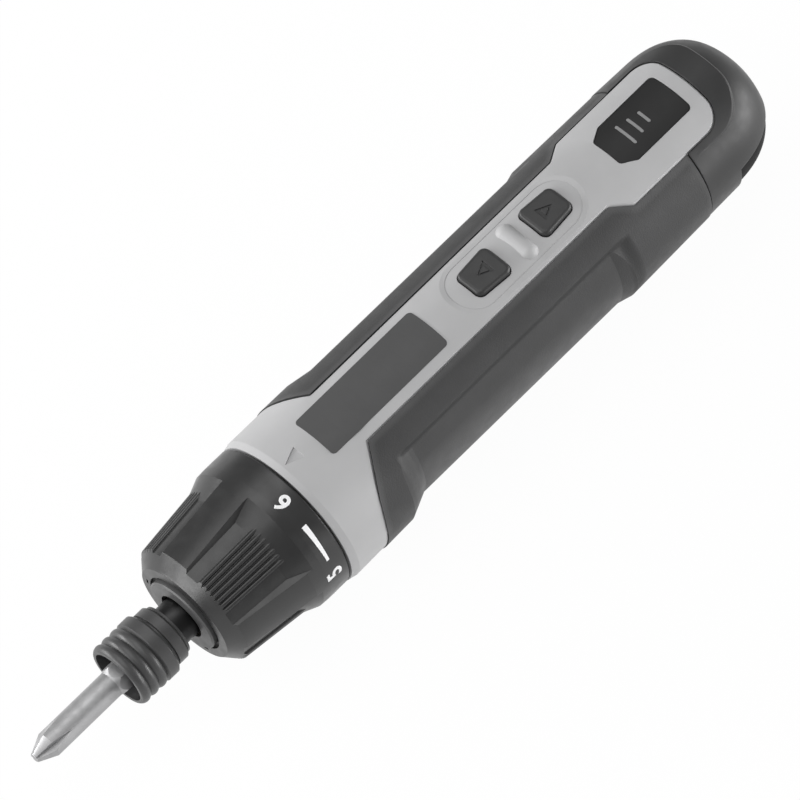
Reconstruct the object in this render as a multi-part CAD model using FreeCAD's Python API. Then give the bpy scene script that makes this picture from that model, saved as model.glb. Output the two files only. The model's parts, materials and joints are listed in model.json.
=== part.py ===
import FreeCAD, Part
import math
import os

# Electric screwdriver, in millimetres. The tool axis is X, with the bit towards -X.
# The origin is at the mouth of the hex socket, +Z is the button panel, -Y the left flank.

V = FreeCAD.Vector
X_AXIS = V(1, 0, 0)
Y_AXIS = V(0, 1, 0)
Z_AXIS = V(0, 0, 1)
FULL_TURN = 360.0
HALF_TURN = 180.0

# Clearances and the overrun of cuts
overrun = 2.0
running_gap = 0.05
seat_gap = 0.05
shell_gap = 0.15
seam_gap = 0.06
moving_gap = 0.3

# Screwdriver bit: cross point, quarter-inch hex shank
bit_reach = 26.8
bit_length = 45.0
bit_end_gap = 0.4
bit_across_flats = 6.35
bit_neck_radius = 3.05
bit_hex_start = -2.5
bit_blend_length = 1.6
bit_point_radius = 1.1
bit_cone_length = 4.2
bit_flute_length = 9.5
bit_flute_root = 0.75
bit_flute_half_angle = 44.0
bit_edge = 0.4
bit_groove_radius = 2.45
bit_groove_width = 3.0

# Spindle and its hex socket
socket_gap = 0.05
magnet_radius = 2.6
magnet_length = 3.0
socket_depth = bit_length - bit_reach + bit_end_gap + magnet_length
spindle_front_radius = 5.5
spindle_front_length = 11.0
spindle_radius = 4.9
spindle_drive_flats = 7.0
spindle_edge = 0.4

# Quick-release chuck
sleeve_front = -2.0
sleeve_rear = 12.4
sleeve_ring_radius = 7.87
sleeve_band_radius = 6.95
sleeve_mouth_radius = 6.45
sleeve_groove_depth = 0.65
sleeve_groove_places = (0.4, 2.8, 5.3)
sleeve_ring_end = 8.8
sleeve_neck_groove = 0.7
sleeve_edge = 0.45
sleeve_travel = 2.4
release_radius = 6.0
ball_radius = 1.1
ball_place = 8.25
clip_start = 0.8
clip_thickness = 0.8
clip_groove_depth = 0.3
clip_radius = 6.3
stop_ring_thickness = 0.7
stop_ring_radius = 6.25
stop_ring_groove = 0.3
chuck_wire = 0.6
chuck_turns = 3.0

# Torque collar
collar_front = 18.0
collar_rear = 48.6
collar_face_radius = 12.7
collar_face_edge = 0.3
collar_shoulder = 21.0
collar_shoulder_radius = 15.6
collar_lobe_end = 39.0
collar_lobe_drop = 0.2
collar_band_start = 42.6
collar_step = 0.4
collar_hub_hole = 10.0
collar_hub_depth = 0.95
collar_lip_radius = 9.0
collar_lip_end = 20.5
collar_bore_end = 33.0
collar_rear_edge = 0.5
pocket_count = 4
pocket_first_angle = 30.5
pocket_foot_half_angle = 29.0
pocket_top_half_angle = 33.0
pocket_front_depth = 0.6
pocket_rear_depth = 1.7
pocket_ramp_start = 35.2
pocket_ramp_end = 40.8
pocket_rib_count = 7
pocket_rib_pitch = 4.9
pocket_rib_radius = 0.55
slit_count = 3
slit_first_angle = 33.5
slit_radius = 10.9
slit_length = 1.7
slit_width = 0.5
slit_depth = 0.6

# Gear case, nose plate and front bearing
nose_plate_radius = 9.2
nose_plate_hole = 5.75
nose_plate_proud = 1.0
nose_plate_edge = 0.35
nose_front_radius = 8.9
nose_thread_radius = 10.5
nose_thread_start = 20.8
bush_radius = 7.4
bush_start = 19.6
bush_length = 9.0
case_front = 36.6
case_front_radius = 14.9
case_wall_thickness = 3.4
case_body_start = 43.2
case_wall = 1.8
case_rear = 58.6

# Torque clutch
nut_front_room = 1.25
nut_length = 4.0
nut_radius = 13.2
nut_key_count = 3
nut_key_width = 4.0
nut_key_height = 0.8
nut_lead = 3.0
collar_turn_degrees = 337.0
clutch_wire = 1.7
clutch_turns = 2.25
clutch_coil_radius = 12.3
washer_thickness = 1.3
washer_inner_radius = 10.8
washer_radius = 14.5
clutch_pin_count = 6
clutch_pin_radius = 1.0
clutch_pin_circle = 13.6

# Gears: two planetary stages in one ring gear
gear_module = 0.5
gear_pressure_angle = 25.0
gear_addendum_share = 0.85
gear_dedendum_share = 1.1
gear_backlash = 0.05
sun_teeth = 12
planet_teeth = 18
ring_teeth = 48
planet_count = 3
ring_wall = 2.75
ring_start = 43.6
ring_length = 14.8
stage_gap = 0.3
carrier_thickness = 2.6
carrier_radius = 10.6
planet_width = 5.0
planet_pin_radius = 1.2

# Motor
motor_plate_thickness = 1.6
motor_radius = 12.2
motor_length = 31.0
motor_flat_half = 9.6
motor_wall = 1.0
motor_boss_radius = 3.0
motor_boss_height = 1.2
motor_shaft_radius = 1.0
armature_radius = 8.0
armature_margin = 5.5
armature_slots = 5
armature_slot_width = 2.0
armature_slot_depth = 3.5
bell_length = 4.0
bell_hub_radius = 4.5
bell_hub_height = 2.0
terminal_width = 2.2
terminal_thickness = 0.5
terminal_height = 3.0
terminal_offset = 8.0
motor_screw_circle = 8.0
motor_screw_radius = 1.0
motor_screw_depth = 3.0
motor_screw_head_radius = 1.8
motor_screw_head = 1.0

# Handle: a slightly tapered cone whose axis rises towards the tail
handle_front = 59.5
handle_taper = 1.45
handle_rise = 2.1
rubber_proud = 0.25
cover_ring_wall = 2.45
cover_tail_lift = 0.1
cover_wall = 2.2
rubber_thickness = 2.5
shell_wall = 1.8
shell_front = 62.0
shell_overhang = 0.5
rib_thickness = 1.6
motor_rib_place = 84.0
cell_rib_steps = (4.5, 19.5, 44.5)
keel_drop = 0.05
keel_half_width = 4.3
keel_slope_height = 6.5
keel_slope_width = 9.0
keel_front = 62.5
keel_rear_step = -14.5
keel_edge = 1.2
keel_ramp_length = 12.0
keel_ramp_height = 4.5

# Plan outline of the grey cover
ring_front = 48.9
ring_band = 1.5
ring_band_drop = 0.35
strip_corner = 67.1
strip_half_width = 8.4
strip_slant_start = 61.0
strip_slant_half_width = 16.7
strip_jog_start_step = -25.5
strip_jog_end_step = -20.7
strip_wide_half_width = 11.5
strip_end_step = 7.3
strip_corner_radius = 5.0
strip_jog_radius = 1.5
strip_bevel = 0.45
pointer_apex = 51.1
pointer_base = 55.2
pointer_half_width = 1.65
pointer_depth = 0.35

# Button field
button_steps = (9.9, 29.4)
button_length = 9.6
button_wide = 8.8
button_narrow = 7.3
button_corner = 1.6
button_proud = 1.0
button_gap = 0.2
button_flange = 1.0
button_flange_thickness = 1.0
button_travel = 0.6
button_stem_radius = 1.6
button_edge = 0.85
mark_half = 1.75
mark_line = 0.4
mark_depth = 0.25
field_start_step = 0.9
field_end_step = 37.7
field_half_width = 6.2
field_depth = 0.25
field_slope_width = 1.2
field_slope_height = 0.2
finger_rib_step = 20.3
finger_rib_radius = 2.3
finger_rib_half_length = 3.3
finger_rib_height = 0.8

# Charge gauge
window_front_step = -16.8
window_rear_step = 3.5
window_half_width = 5.9
window_nose_half_width = 3.8
window_nose_length = 3.6
window_corner = 1.2
window_sink = 0.12
window_gap = 0.1
window_thickness = 1.6
bar_steps = (-10.8, -7.9, -5.1)
bar_lengths = (6.2, 4.9, 3.7)
bar_width = 0.8
bar_depth = 0.8

# Flank pads of the grip
pad_bulge = 1.55
pad_sink = 2.35
pad_direction = 105.0
pad_upper_angle = 46.5
pad_lower_angle = 150.0
pad_front = 67.5
pad_front_floor = 73.5
pad_rear_floor_step = -32.0
pad_rear_step = -24.8
pad_rise_share = 0.5

# Tail cap and port cover
seam_step = -4.6
seam_slope = 0.02
tail_flare = 0.2
tail_start_step = -16.5
tail_dome_start_step = 3.5
tail_dome_drop = 0.2
tail_end_step = 22.4
tail_lift = 0.4
tail_tip_radius = 1.0
tail_wall = 2.4
tail_round_power = 2.6
tail_round_shares = (0.25, 0.5, 0.7, 0.85, 0.95)
ledge_side = 1.8
ledge_reach = 6.6
ledge_corner = 9.0
ledge_lift = 0.1
ledge_edge = 0.4
port_front_step = 5.1
port_top = 4.2
port_slope_share = 0.16
port_inset = 0.5
hinge_radius = 0.45
hinge_half_length = 3.0
hinge_back = 0.8
port_thickness = 2.6
port_depth = 3.4
usb_width = 8.94
usb_height = 3.26
usb_wall = 0.35
usb_length = 7.4
usb_level = -5.0
usb_edge = 2.6

# Power and control
cell_radius = 9.2
cell_length = 65.0
cell_front_room = 3.25
cell_level = -1.4
cell_edge = 0.8
cell_rear_margin = 5.5
tab_thickness = 0.3
tab_width = 7.0
board_margin = 1.0
board_half_width = 10.0
board_opening_half_width = 7.5
board_thickness = 1.2
board_level = 9.6
switch_size = 6.0
switch_height = 2.6
switch_knob_radius = 1.7
switch_knob_height = 0.8
light_length = 1.6
light_width = 3.2
light_height = 1.0
screw_radius = 1.0
screw_head_radius = 1.9
screw_head = 1.2
screw_length = 3.4
cover_screw_places = (70.0, 90.0)
tail_screw_step = -1.8
tail_screw_angle = 38.0

# Radii, from the gears outwards
ring_radius = gear_module * ring_teeth / 2 + ring_wall
case_radius = ring_radius + seat_gap + case_wall
cover_front_radius = case_radius + shell_gap + cover_ring_wall
handle_front_radius = cover_front_radius + rubber_proud
handle_rear_radius = handle_front_radius - handle_taper
cover_rear_radius = handle_rear_radius + cover_tail_lift
collar_band_radius = cover_front_radius - collar_step
collar_lobe_radius = collar_band_radius - collar_lobe_drop
collar_bore_radius = nut_radius + moving_gap
collar_mid_radius = case_front_radius + moving_gap
collar_rear_radius = case_radius + moving_gap
keel_level = -handle_front_radius - keel_drop
pad_floor_radius = handle_front_radius + pad_bulge
pad_floor_reach = handle_front_radius - pad_sink
tail_start_radius = handle_rear_radius + tail_flare
tail_dome_radius = handle_rear_radius - tail_dome_drop

# Stations along the tool: the front half in steps from the cell's front end, the rear half from its rear end
motor_front = case_rear + motor_plate_thickness
bell_end = motor_front + motor_length + seat_gap + bell_length
cell_start = bell_end + terminal_height + cell_front_room
cell_end = cell_start + cell_length
shell_end = cell_end + shell_overhang
handle_rear = cell_end - cell_rear_margin
board_start = cell_start - board_margin
cell_rib_places = [cell_start + step for step in cell_rib_steps]
keel_rear = cell_end + keel_rear_step
strip_jog_start = cell_end + strip_jog_start_step
strip_jog_end = cell_end + strip_jog_end_step
strip_end = cell_end + strip_end_step
button_places = [cell_start + step for step in button_steps]
field_start = cell_start + field_start_step
field_end = cell_start + field_end_step
finger_rib_place = cell_start + finger_rib_step
window_front = cell_end + window_front_step
window_rear = cell_end + window_rear_step
bar_places = [cell_end + step for step in bar_steps]
pad_rear_floor = cell_end + pad_rear_floor_step
pad_rear = cell_end + pad_rear_step
seam_place = cell_end + seam_step
tail_start = cell_end + tail_start_step
tail_dome_start = cell_end + tail_dome_start_step
tail_end = cell_end + tail_end_step
ledge_rear = strip_end + ledge_reach
port_front = cell_end + port_front_step
tail_screw_place = cell_end + tail_screw_step


# Small builders

def cylinder_x(radius, start, end, y=0, z=0):
    return Part.makeCylinder(radius, end - start, V(start, y, z), X_AXIS)


def tube_x(outer, inner, start, end):
    wall = cylinder_x(outer, start, end)
    return wall.cut(cylinder_x(inner, start - overrun, end + overrun))


def box(low, high):
    size = high.sub(low)
    return Part.makeBox(size.x, size.y, size.z, low)


def skin_point(x, radius, degrees):
    # Degrees are counted from +Z towards -Y.
    angle = math.radians(degrees)
    return V(x, -radius * math.sin(angle), radius * math.cos(angle))


def round_profile(points, turn=FULL_TURN, level=0):
    # Points are (x, radius), turned about an axis parallel to X at height level.
    corners = [V(x, 0, level + radius) for x, radius in points]
    wire = Part.makePolygon(corners + corners[:1])
    return Part.Face(wire).revolve(V(0, 0, level), X_AXIS, turn)


def turned(shape, degrees, level=0):
    copy = shape.copy()
    copy.rotate(V(0, 0, level), X_AXIS, degrees)
    return copy


def flat_outline(points, low, high):
    # A plan outline of (x, y) points, raised from low to high.
    corners = [V(x, y, low) for x, y in points]
    face = Part.Face(Part.makePolygon(corners + corners[:1]))
    return face.extrude(V(0, 0, high - low))


def round_upright_edges(solid, radius, keep=None):
    # Fillets the vertical edges, or only those that keep accepts.
    chosen = []
    for edge in solid.Edges:
        ends = [vertex.Point for vertex in edge.Vertexes]
        upright = len(ends) == 2 and ends[0].sub(ends[1]).cross(Z_AXIS).Length < running_gap
        if upright and (keep is None or keep(ends[0])):
            chosen.append(edge)
    return solid.makeFillet(radius, chosen)


def hex_prism(across_flats, start, end):
    corner = across_flats / math.sqrt(3)
    points = []
    for side in range(6):
        angle = math.radians(60 * side)
        points.append(V(start, corner * math.cos(angle), corner * math.sin(angle)))
    face = Part.Face(Part.makePolygon(points + points[:1]))
    return face.extrude(V(end - start, 0, 0))


def joined(shapes):
    first = shapes[0]
    return first.fuse(shapes[1:]).removeSplitter()


def export(name, shape):
    shape.exportStep("parts/" + name + ".step")
    print(name, len(shape.Solids), round(shape.Volume, 1), shape.isValid())


# The tapered handle

def handle_axis(x):
    return handle_rise * (x - handle_front) / (handle_rear - handle_front)


def handle_cone(front_radius, rear_radius, inset, start, end):
    # A stretch of the tapered body, from start to end, drawn in by inset.
    run = handle_rear - handle_front
    slope = (rear_radius - front_radius) / run
    low = start - overrun
    high = end + overrun
    radius_low = front_radius + slope * (low - handle_front) - inset
    radius_high = front_radius + slope * (high - handle_front) - inset
    base = V(low, 0, handle_axis(low))
    along = V(high - low, 0, handle_axis(high) - handle_axis(low))
    cone = Part.makeCone(radius_low, radius_high, along.Length, base, along)
    reach = 2 * front_radius
    return cone.common(box(V(start, -reach, -reach), V(end, reach, reach)))


def rubber_body(inset, start, end):
    return handle_cone(handle_front_radius, handle_rear_radius, inset, start, end)


def cover_body(inset, start, end):
    return handle_cone(cover_front_radius, cover_rear_radius, inset, start, end)


def cover_top(x):
    # Height of the cover's crown above the tool axis.
    slope = (cover_rear_radius - cover_front_radius) / (handle_rear - handle_front)
    return cover_front_radius + slope * (x - handle_front) + handle_axis(x)


def cover_plan(grow):
    # The grey cover seen from above: front ring, slanted shoulders, strip and wide end.
    side = 2 * handle_front_radius
    half = [
        (ring_front - overrun, side),
        (handle_front + grow, side),
        (handle_front + grow, handle_front_radius),
        (strip_slant_start + grow, strip_slant_half_width + grow),
        (strip_corner + grow, strip_half_width + grow),
        (strip_jog_start - grow, strip_half_width + grow),
        (strip_jog_end - grow, strip_wide_half_width + grow),
        (strip_end + grow, strip_wide_half_width + grow),
    ]
    points = half + [(x, -y) for x, y in reversed(half)]
    solid = flat_outline(points, 0, side)
    near_end = strip_end - strip_corner_radius
    solid = round_upright_edges(solid, strip_corner_radius + grow, lambda p: p.x > near_end)
    jog_low = strip_corner + strip_corner_radius
    return round_upright_edges(solid, strip_jog_radius, lambda p: jog_low < p.x < near_end)


def front_ring(grow):
    side = 2 * handle_front_radius
    return box(V(ring_front - overrun, -side, -side), V(handle_front + grow, side, side))


def seam_half_space(grow):
    # Everything behind the slanted seam between grip and tail.
    side = 3 * handle_front_radius
    block = box(V(seam_place + grow, -side, -side), V(seam_place + 2 * side, side, side))
    lean = math.degrees(math.atan(seam_slope))
    block.rotate(V(seam_place, 0, 0), Y_AXIS, lean)
    return block


# Bit and chuck

def make_bit():
    tip = -bit_reach
    end = tip + bit_length
    corner = bit_across_flats / math.sqrt(3)
    hexagon = hex_prism(bit_across_flats, bit_hex_start - bit_blend_length, end)
    blend = round_profile([
        (bit_hex_start - bit_blend_length, 0),
        (bit_hex_start - bit_blend_length, bit_neck_radius - running_gap),
        (bit_hex_start, corner),
        (end - bit_edge, corner),
        (end, corner - bit_edge),
        (end, 0),
    ])
    shank = hexagon.common(blend)
    neck = round_profile([
        (tip, 0),
        (tip, bit_point_radius),
        (tip + bit_cone_length, bit_neck_radius),
        (bit_hex_start, bit_neck_radius),
        (bit_hex_start, 0),
    ])
    bit = shank.fuse(neck).removeSplitter()
    return bit.cut(bit_flutes() + [bit_groove()])


def bit_flutes():
    # Four wedge cuts that run out along the neck and leave the cross.
    tip = -bit_reach
    rise = math.atan((bit_neck_radius - bit_flute_root) / bit_flute_length)
    depth = 2 * bit_neck_radius
    half = depth * math.tan(math.radians(bit_flute_half_angle))
    along = V(math.cos(rise), 0, math.sin(rise))
    out = V(-math.sin(rise), 0, math.cos(rise))
    start = V(tip, 0, bit_flute_root).sub(along * overrun)
    corners = [start, start.add(out * depth).add(Y_AXIS * half), start.add(out * depth).sub(Y_AXIS * half)]
    wedge = Part.Face(Part.makePolygon(corners + corners[:1])).extrude(along * 2 * bit_flute_length)
    return [turned(wedge, 45 + 90 * turn) for turn in range(4)]


def bit_groove():
    half = bit_groove_width / 2
    outer = bit_across_flats
    return tube_x(outer, bit_groove_radius, ball_place - half, ball_place + half)


def make_spindle():
    drive_end = ring_start - stage_gap
    drive_start = drive_end - carrier_thickness
    body = round_profile([
        (0, 0),
        (0, spindle_front_radius - spindle_edge),
        (spindle_edge, spindle_front_radius),
        (clip_start, spindle_front_radius),
        (clip_start, spindle_front_radius - clip_groove_depth),
        (clip_start + clip_thickness, spindle_front_radius - clip_groove_depth),
        (clip_start + clip_thickness, spindle_front_radius),
        (spindle_front_length, spindle_front_radius),
        (spindle_front_length, spindle_radius),
        (sleeve_rear + seat_gap, spindle_radius),
        (sleeve_rear + seat_gap, spindle_radius - stop_ring_groove),
        (sleeve_rear + seat_gap + stop_ring_thickness, spindle_radius - stop_ring_groove),
        (sleeve_rear + seat_gap + stop_ring_thickness, spindle_radius),
        (drive_start, spindle_radius),
        (drive_start, 0),
    ])
    drive = hex_prism(spindle_drive_flats, drive_start - overrun, drive_end)
    flats = bit_across_flats + 2 * socket_gap
    socket = hex_prism(flats, -overrun, socket_depth)
    pocket = cylinder_x(magnet_radius + seat_gap, 0, socket_depth)
    hole = Part.makeCylinder(ball_radius + running_gap, spindle_radius * 2, V(ball_place, 0, 0), Z_AXIS)
    return body.fuse(drive).removeSplitter().cut([socket, pocket, hole])


def make_magnet():
    return cylinder_x(magnet_radius, socket_depth - magnet_length, socket_depth)


def make_ball():
    lift = spindle_front_radius - ball_radius
    return Part.makeSphere(ball_radius, V(ball_place, 0, lift))


def make_clip():
    inner = spindle_front_radius - clip_groove_depth + seat_gap
    start = clip_start + seat_gap
    return tube_x(clip_radius, inner, start, clip_start + clip_thickness - seat_gap)


def make_stop_ring():
    start = sleeve_rear + 2 * seat_gap
    inner = spindle_radius - stop_ring_groove + seat_gap
    return tube_x(stop_ring_radius, inner, start, start + stop_ring_thickness - 2 * seat_gap)


def land_length():
    # The inner land holds the ball down until the sleeve has made its travel.
    return sleeve_travel + 2 * seat_gap


def land_start():
    return ball_place - land_length() / 2


def sleeve_beads():
    # Round crowns between the grooves, drawn from the mouth to the last groove.
    floor = sleeve_ring_radius - sleeve_groove_depth
    ends = (sleeve_front,) + sleeve_groove_places
    arcs = []
    for first, last in zip(ends, ends[1:]):
        crown = V((first + last) / 2, 0, sleeve_ring_radius)
        arcs.append(Part.Arc(V(first, 0, floor), crown, V(last, 0, floor)).toShape())
    return arcs


def make_sleeve():
    floor = sleeve_ring_radius - sleeve_groove_depth
    last_groove = sleeve_groove_places[-1]
    outline = [
        (last_groove, floor),
        (last_groove + sleeve_edge, sleeve_ring_radius),
        (sleeve_ring_end - sleeve_edge, sleeve_ring_radius),
        (sleeve_ring_end, sleeve_ring_radius - sleeve_edge),
        (sleeve_ring_end, sleeve_band_radius - sleeve_edge),
        (sleeve_ring_end + sleeve_neck_groove, sleeve_band_radius - sleeve_edge),
        (sleeve_ring_end + sleeve_neck_groove, sleeve_band_radius),
        (sleeve_rear - sleeve_edge, sleeve_band_radius),
        (sleeve_rear, sleeve_band_radius - sleeve_edge),
        (sleeve_rear, release_radius),
        (land_start() + land_length(), release_radius),
        (land_start() + land_length(), spindle_front_radius + running_gap),
        (land_start(), spindle_front_radius + running_gap),
        (land_start(), sleeve_mouth_radius),
        (sleeve_front, sleeve_mouth_radius),
        (sleeve_front, floor),
    ]
    corners = [V(x, 0, radius) for x, radius in outline]
    wire = Part.Wire(Part.makePolygon(corners).Edges + sleeve_beads())
    return Part.Face(wire).revolve(V(0, 0, 0), X_AXIS, FULL_TURN)


def arc_through(start, bend, end):
    # A circular arc that leaves start and meets end along the two lines to bend.
    middle = start.add(end) * 0.5
    half_chord = start.sub(middle).Length
    height = bend.sub(middle).Length
    reach = bend.sub(start).Length
    rise = half_chord * (reach - half_chord) / height
    return Part.Arc(start, middle.add(bend.sub(middle) * (rise / height)), end).toShape()


def coil_spring(radius, wire, start, end, turns):
    # A helix about X made of two arcs for each quarter turn, with round wire.
    quarters = round(4 * turns)
    length = end - start
    pitch_step = length / quarters

    def place(step):
        angle = math.pi / 2 * step
        return V(start + pitch_step * step, radius * math.cos(angle), radius * math.sin(angle))

    def heading(step):
        angle = math.pi / 2 * step
        sweep = radius * math.pi / 2
        way = V(pitch_step, -sweep * math.sin(angle), sweep * math.cos(angle))
        return way.normalize()

    edges = []
    for step in range(quarters):
        first = place(step)
        last = place(step + 1)
        leave = heading(step)
        arrive = heading(step + 1)
        chord = last.sub(first)
        both = leave.add(arrive)
        a = both.dot(both) - 4
        b = -2 * chord.dot(both)
        c = chord.dot(chord)
        reach = (-b - math.sqrt(b * b - 4 * a * c)) / (2 * a)
        bend_one = first.add(leave * reach)
        bend_two = last.sub(arrive * reach)
        meet = bend_one.add(bend_two) * 0.5
        edges.append(arc_through(first, bend_one, meet))
        edges.append(arc_through(meet, bend_two, last))
    path = Part.Wire(edges)
    section = Part.Wire(Part.makeCircle(wire / 2, place(0), heading(0)))
    return path.makePipeShell([section], True, False)


def make_chuck_spring():
    start = clip_start + clip_thickness + chuck_wire / 2 + seat_gap
    end = land_start() - chuck_wire / 2 - seat_gap
    middle = (spindle_front_radius + sleeve_mouth_radius) / 2
    return coil_spring(middle, chuck_wire, start, end, chuck_turns)


# Torque collar and clutch

def floor_at(x):
    # Radius of a pocket's floor, which falls away towards the shoulder.
    front = collar_shoulder_radius - pocket_front_depth
    rear = collar_lobe_radius - pocket_rear_depth
    return front + (rear - front) * (x - collar_shoulder) / (collar_lobe_end - collar_shoulder)


def make_collar():
    hub_end = collar_front + collar_hub_depth
    body = round_profile([
        (collar_front, collar_hub_hole),
        (collar_front, collar_face_radius - collar_face_edge),
        (collar_front + collar_face_edge, collar_face_radius),
        (collar_shoulder, collar_shoulder_radius),
        (collar_lobe_end, collar_lobe_radius),
        (collar_band_start, collar_band_radius),
        (collar_rear - collar_rear_edge, collar_band_radius),
        (collar_rear, collar_band_radius - collar_rear_edge),
        (collar_rear, collar_rear_radius),
        (case_body_start - moving_gap, collar_rear_radius),
        (case_body_start - moving_gap, collar_mid_radius),
        (collar_bore_end, collar_mid_radius),
        (collar_bore_end, collar_bore_radius),
        (collar_lip_end, collar_bore_radius),
        (collar_lip_end, collar_lip_radius),
        (hub_end, collar_lip_radius),
        (hub_end, collar_hub_hole),
    ])
    ribs = body.common(Part.makeCompound(pocket_ribs()))
    cuts = []
    for index in range(pocket_count):
        cuts.append(turned(pocket_cut(), pocket_centre(index)))
    slit = box(V(collar_front - overrun, -slit_length / 2, slit_radius - slit_width / 2),
               V(collar_front + slit_depth, slit_length / 2, slit_radius + slit_width / 2))
    for index in range(slit_count):
        cuts.append(turned(slit, index * FULL_TURN / slit_count + slit_first_angle))
    for index in range(nut_key_count):
        cuts.append(turned(key_way(shell_gap), index * FULL_TURN / nut_key_count))
    return body.cut(cuts).fuse(ribs.Solids).removeSplitter()


def pocket_centre(index):
    return pocket_first_angle + index * FULL_TURN / pocket_count


def pocket_cut():
    # A wedge of the collar's skin, open at the shoulder, with leaning sides and a ramp at the rear.
    start = collar_shoulder - overrun
    spread = 2 * pocket_top_half_angle
    sector = round_profile([
        (start, floor_at(start)),
        (pocket_ramp_start, floor_at(pocket_ramp_start)),
        (pocket_ramp_end, collar_band_radius),
        (pocket_ramp_end, collar_band_radius + overrun),
        (start, collar_band_radius + overrun),
    ], 2 * spread)
    return turned(sector, -spread).cut([pocket_side(1), pocket_side(-1)])


def pocket_side(side):
    # Everything beyond the plane of a leaning side wall.
    foot = side * pocket_foot_half_angle
    front = skin_point(collar_shoulder, floor_at(collar_shoulder), foot)
    rear = skin_point(pocket_ramp_end, floor_at(pocket_ramp_end), foot)
    top = skin_point(pocket_ramp_end, collar_band_radius, side * pocket_top_half_angle)
    outward = rear.sub(front).cross(top.sub(front)) * side
    reach = 2 * collar_rear
    return Part.makeCylinder(reach, reach, front, outward)


def pocket_ribs():
    # Round finger ribs along each pocket's floor, from the shoulder into the ramp.
    start = V(collar_shoulder - overrun, 0, floor_at(collar_shoulder - overrun))
    end = V(collar_lobe_end, 0, floor_at(collar_lobe_end))
    rib = Part.makeCylinder(pocket_rib_radius, end.sub(start).Length, start, end.sub(start))
    ribs = []
    for index in range(pocket_count):
        for number in range(pocket_rib_count):
            offset = (number - (pocket_rib_count - 1) / 2) * pocket_rib_pitch
            ribs.append(turned(rib, pocket_centre(index) + offset))
    return ribs


def key_way(grow):
    half = nut_key_width / 2 + grow
    top = nut_radius + nut_key_height + grow
    return box(V(collar_lip_end, -half, nut_radius - nut_key_height), V(collar_bore_end, half, top))


def nut_start():
    # The nut screws forward as the collar turns back to its lowest setting.
    return collar_lip_end + nut_lead * collar_turn_degrees / FULL_TURN + nut_front_room


def make_nut():
    start = nut_start()
    end = start + nut_length
    ring = tube_x(nut_radius, nose_thread_radius + running_gap, start, end)
    half = nut_key_width / 2
    key = box(V(start, -half, nut_radius - nut_key_height), V(end, half, nut_radius + nut_key_height))
    keys = [turned(key, index * FULL_TURN / nut_key_count) for index in range(nut_key_count)]
    return joined([ring] + keys)


def washer_start():
    return case_front - seat_gap - washer_thickness


def make_clutch_spring():
    start = nut_start() + nut_length + clutch_wire / 2 + seat_gap
    end = washer_start() - clutch_wire / 2 - seat_gap
    return coil_spring(clutch_coil_radius, clutch_wire, start, end, clutch_turns)


def make_washer():
    return tube_x(washer_radius, washer_inner_radius, washer_start(), washer_start() + washer_thickness)


def clutch_pin(grow):
    end = ring_start - seat_gap
    pin = cylinder_x(clutch_pin_radius + grow, case_front, end, 0, clutch_pin_circle)
    return [turned(pin, index * FULL_TURN / clutch_pin_count) for index in range(clutch_pin_count)]


def make_clutch_pins():
    return Part.makeCompound(clutch_pin(0))


# Gear case

def make_nose_plate():
    start = collar_front - nose_plate_proud
    return round_profile([
        (start, nose_plate_hole),
        (start, nose_plate_radius - nose_plate_edge),
        (start + nose_plate_edge, nose_plate_radius),
        (collar_front + collar_hub_depth - shell_gap, nose_plate_radius),
        (collar_front + collar_hub_depth - shell_gap, nose_plate_hole),
    ])


def make_gear_case():
    hub = collar_front + collar_hub_depth
    inner = ring_radius + seat_gap
    case = round_profile([
        (hub - shell_gap, nose_plate_hole),
        (hub - shell_gap, nose_front_radius),
        (nose_thread_start, nose_front_radius),
        (nose_thread_start, nose_thread_radius),
        (case_front, nose_thread_radius),
        (case_front, case_front_radius),
        (case_body_start, case_front_radius),
        (case_body_start, case_radius),
        (case_rear, case_radius),
        (case_rear, inner),
        (ring_start - seat_gap, inner),
        (ring_start - seat_gap, carrier_radius + moving_gap),
        (case_front + case_wall_thickness, carrier_radius + moving_gap),
        (case_front + case_wall_thickness, nose_plate_hole),
        (bush_start + bush_length + seat_gap, nose_plate_hole),
        (bush_start + bush_length + seat_gap, bush_radius + seat_gap),
        (bush_start - seat_gap, bush_radius + seat_gap),
        (bush_start - seat_gap, nose_plate_hole),
    ])
    return case.cut(clutch_pin(running_gap))


def make_bush():
    return tube_x(bush_radius, spindle_radius + running_gap, bush_start, bush_start + bush_length)


# Gears

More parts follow.
